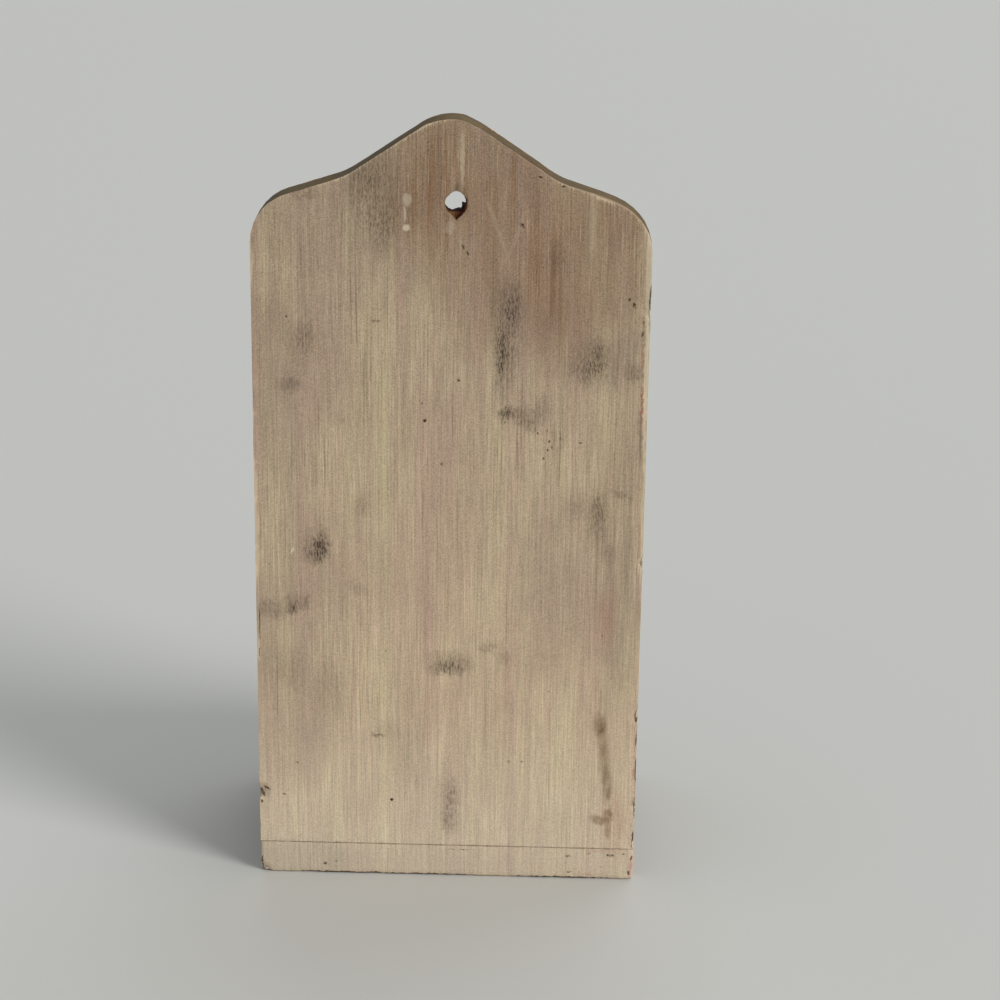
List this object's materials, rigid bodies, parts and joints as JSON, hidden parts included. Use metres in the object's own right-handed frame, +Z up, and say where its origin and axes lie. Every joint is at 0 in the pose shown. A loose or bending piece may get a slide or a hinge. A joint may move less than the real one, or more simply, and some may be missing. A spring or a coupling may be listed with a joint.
{
  "type": "wall matchbox holder",
  "caption": "Wooden wall box for kitchen matches: crested back board with a hanging hole, nailed box, and a sloping lid on brass butt hinges with a turned knob.",
  "frame": {"origin": "centre of the bottom board's underside, which is also the bottom centre of the whole part's box", "axes": "+Z up; the back board's rear face looks along +Y and the box's front along -Y; +X is the right side of the box as seen from its front"},
  "size_m": [0.1396, 0.0952, 0.2858],
  "materials": {
    "washed_pine": "pine board with a thin cream wash, smudged and worn",
    "olive_paint": "dull olive-brown paint over a dark red undercoat, rubbed through at the edges",
    "turned_wood": "turned wooden knob in worn dark red paint",
    "aged_brass": "dulled brass with brown tarnish",
    "nail_steel": "dark, slightly rusted steel"
  },
  "bodies": {
    "holder": {"back_board": "washed_pine", "bottom_board": "washed_pine", "left_side": "olive_paint", "right_side": "olive_paint", "front_board": "olive_paint", "left_hinge_back_leaf": "aged_brass", "left_hinge_pin": "aged_brass", "left_hinge_back_screw_1": "aged_brass", "left_hinge_back_screw_2": "aged_brass", "right_hinge_back_leaf": "aged_brass", "right_hinge_pin": "aged_brass", "right_hinge_back_screw_1": "aged_brass", "right_hinge_back_screw_2": "aged_brass", "back_nail_1": "nail_steel", "back_nail_2": "nail_steel", "back_nail_3": "nail_steel", "front_base_nail_1": "nail_steel", "front_base_nail_2": "nail_steel", "left_side_nail_1": "nail_steel", "left_side_nail_2": "nail_steel", "right_side_nail_1": "nail_steel", "right_side_nail_2": "nail_steel", "left_front_nail_1": "nail_steel", "left_front_nail_2": "nail_steel", "left_front_nail_3": "nail_steel", "right_front_nail_1": "nail_steel", "right_front_nail_2": "nail_steel", "right_front_nail_3": "nail_steel"},
    "lid": {"lid": "olive_paint", "lid_knob": "turned_wood", "knob_screw": "aged_brass", "left_hinge_lid_leaf": "aged_brass", "left_hinge_lid_screw_1": "aged_brass", "left_hinge_lid_screw_2": "aged_brass", "right_hinge_lid_leaf": "aged_brass", "right_hinge_lid_screw_1": "aged_brass", "right_hinge_lid_screw_2": "aged_brass"}
  },
  "joints": [
    {"name": "lid_hinge", "type": "hinge", "parent": "holder", "child": "lid", "pos_m": [0, 0.03263, 0.11354], "axis": [-1, 0, 0], "range_deg": [0, 95]}
  ]
}
